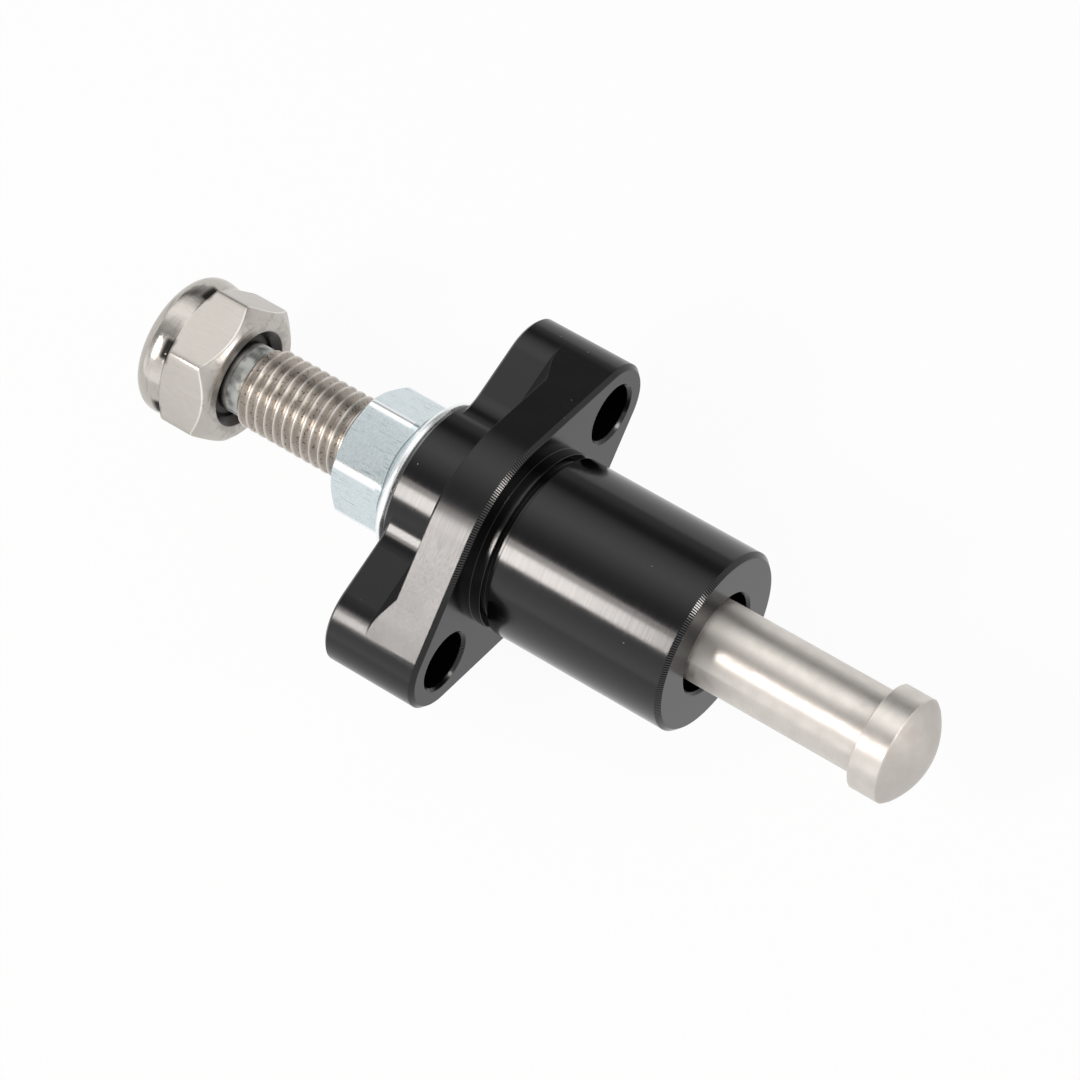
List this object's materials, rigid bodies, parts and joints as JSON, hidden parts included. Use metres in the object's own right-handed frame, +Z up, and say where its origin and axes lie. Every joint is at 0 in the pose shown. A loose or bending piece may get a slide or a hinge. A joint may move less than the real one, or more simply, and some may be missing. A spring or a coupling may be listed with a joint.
{
  "type": "cam chain tensioner",
  "caption": "Hand-set cam chain tensioner: flanged housing with bolt ears and a round barrel, a screwed rod with a domed head, a flange lock nut and a self-locking drive nut.",
  "frame": {"origin": "centre of the flange's front face, midway between the bolt holes, on the rod's axis", "axes": "+X along the rod to its domed head and into the engine; +Y along the line of the bolt holes; +Z up, square to both"},
  "size_m": [0.1001, 0.0446, 0.0274],
  "materials": {
    "black_anodised": "machined and anodised glossy black",
    "turned_stainless": "turned, satin",
    "zinc_plate": "bright zinc plate, bluish",
    "polished_stainless": "tumbled bright",
    "nylon": "natural nylon",
    "seal_rubber": "moulded"
  },
  "bodies": {
    "housing": {"housing": "black_anodised", "seal_ring": "seal_rubber"},
    "rod": {"adjuster_rod": "turned_stainless"},
    "drive_nut": {"drive_nut": "polished_stainless", "nut_insert": "nylon"},
    "lock_nut": {"lock_nut": "zinc_plate"}
  },
  "joints": [
    {"name": "rod_advance", "type": "slide", "parent": "housing", "child": "rod", "axis": [1, 0, 0], "range_m": [-0.02, 0.01312]},
    {"name": "adjuster_turn", "type": "hinge", "parent": "rod", "child": "drive_nut", "pos_m": [-0.0436, 0, 0], "axis": [1, 0, 0], "range_deg": [-5763, 3783]},
    {"name": "lock_nut_back_off", "type": "slide", "parent": "housing", "child": "lock_nut", "axis": [-1, 0, 0], "range_m": [0, 0.0025]}
  ],
  "couplings": [
    {"joint": "adjuster_turn", "follows": "rod_advance", "rad_per_m": 5026.5}
  ]
}
